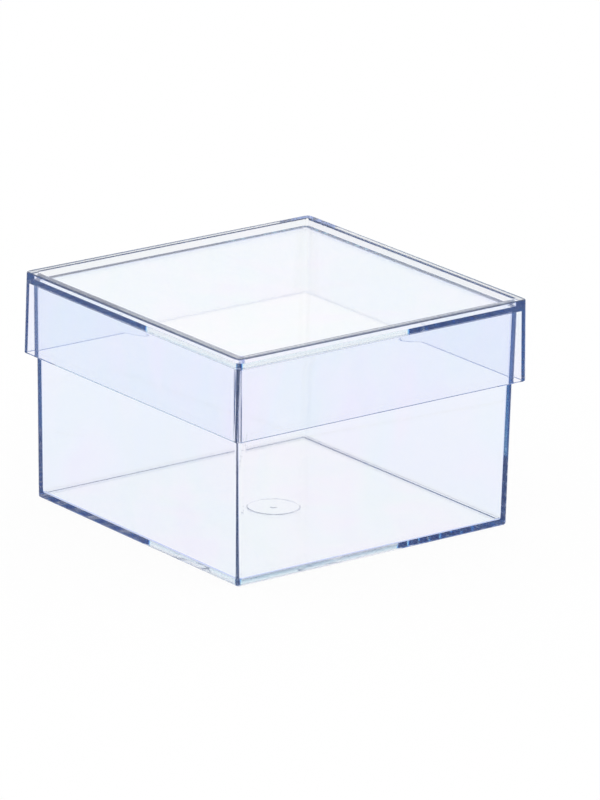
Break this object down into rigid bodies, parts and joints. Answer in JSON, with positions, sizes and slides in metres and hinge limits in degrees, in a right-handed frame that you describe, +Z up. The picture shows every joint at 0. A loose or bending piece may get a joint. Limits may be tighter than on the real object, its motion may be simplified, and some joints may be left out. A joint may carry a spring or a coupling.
{
  "type": "clear storage box with lift-off lid",
  "caption": "Square open-topped clear moulded box with a slip-over lid whose skirt hangs down round the mouth.",
  "frame": {"origin": "middle of the base's flat underside, on the table", "axes": "+Z up through the mouth and the lid; X and Y square to the walls"},
  "size_m": [0.0914, 0.0914, 0.06],
  "materials": {
    "clear_base": "crystal-clear polystyrene, polished mould surface",
    "clear_lid": "crystal-clear polystyrene, polished mould surface"
  },
  "bodies": {
    "box": {"base": "clear_base"},
    "cover": {"lid": "clear_lid"}
  },
  "joints": [
    {"name": "lid_lift", "type": "slide", "parent": "box", "child": "cover", "axis": [0, 0, 1], "range_m": [0, 0.03]}
  ]
}
